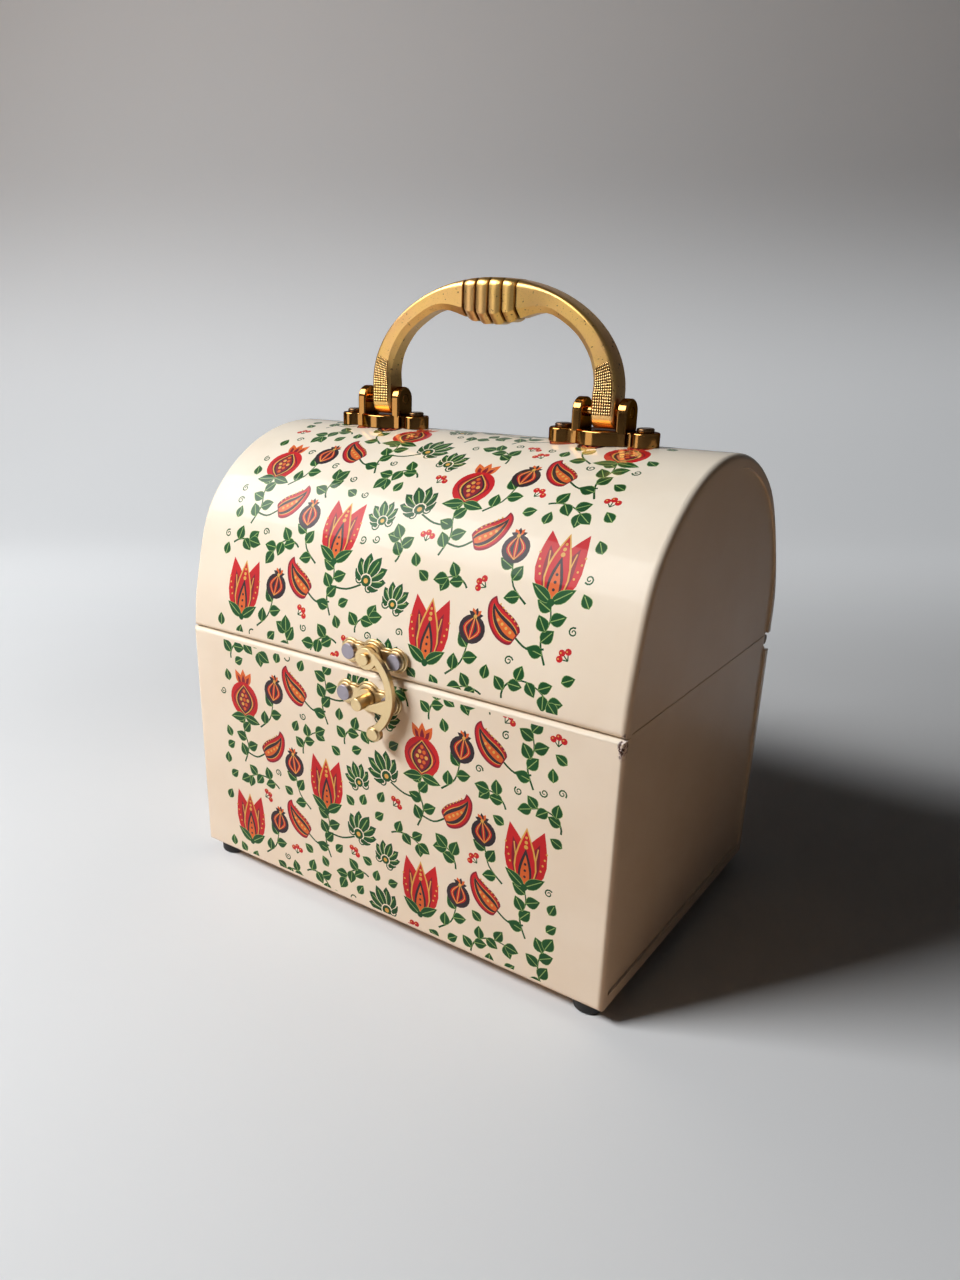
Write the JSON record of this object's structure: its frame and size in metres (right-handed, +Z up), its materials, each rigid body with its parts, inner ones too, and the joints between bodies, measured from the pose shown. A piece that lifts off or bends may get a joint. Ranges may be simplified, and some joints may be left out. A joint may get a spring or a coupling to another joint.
{
  "type": "keepsake trunk box",
  "caption": "Small lacquered board trunk with a half-round hinged lid, a swing-hook latch, round feet and a folding cast brass handle on top.",
  "frame": {"origin": "on the table, in the middle of the outer limits with the lid shut and the handle upright", "axes": "+Z up, +X along the front towards the right end, +Y from the front with the latch to the back"},
  "size_m": [0.19, 0.1428, 0.2355],
  "materials": {
    "printed_board": "cream gloss lacquer over a printed plant pattern",
    "plain_board": "plain cream gloss lacquer",
    "handle_brass": "antiqued cast brass, dark in the hollows and worn bright on the edges",
    "latch_brass": "bright polished brass",
    "latch_screw_metal": "pale flat heads",
    "plate_screw_metal": "darkened screw heads",
    "hinge_metal": "dark bronzed",
    "foot_rubber": "matte black"
  },
  "bodies": {
    "base": {"base_front_panel": "printed_board", "base_back_panel": "printed_board", "base_left_end": "plain_board", "base_right_end": "plain_board", "base_bottom_panel": "plain_board", "foot_front_left": "foot_rubber", "foot_front_right": "foot_rubber", "foot_back_left": "foot_rubber", "foot_back_right": "foot_rubber", "hinge_base_leaf": "hinge_metal", "hinge_pin": "hinge_metal", "hinge_base_screws": "hinge_metal", "keeper_plate": "latch_brass", "keeper_stud": "latch_brass", "keeper_screws": "latch_screw_metal"},
    "lid": {"lid_skin": "printed_board", "lid_left_end": "plain_board", "lid_right_end": "plain_board", "hinge_lid_leaf": "hinge_metal", "hinge_lid_screws": "hinge_metal", "latch_plate": "latch_brass", "latch_plate_screws": "latch_screw_metal", "latch_rivet": "latch_brass", "handle_left_plate": "handle_brass", "handle_right_plate": "handle_brass", "handle_left_pin": "handle_brass", "handle_right_pin": "handle_brass", "handle_plate_screws": "plate_screw_metal"},
    "handle": {"handle_bail": "handle_brass"},
    "latch_hook": {"latch_hook": "latch_brass"}
  },
  "joints": [
    {"name": "lid_hinge", "type": "hinge", "parent": "base", "child": "lid", "pos_m": [0, 0.0682, 0.1018], "axis": [-1, 0, 0], "range_deg": [0, 100]},
    {"name": "handle_swing", "type": "hinge", "parent": "lid", "child": "handle", "pos_m": [0, 0.0039, 0.1918], "axis": [1, 0, 0], "range_deg": [-90, 90]},
    {"name": "latch_hook_swing", "type": "hinge", "parent": "lid", "child": "latch_hook", "pos_m": [0, -0.0636, 0.1115], "axis": [0, -1, 0], "range_deg": [0, 100]}
  ]
}
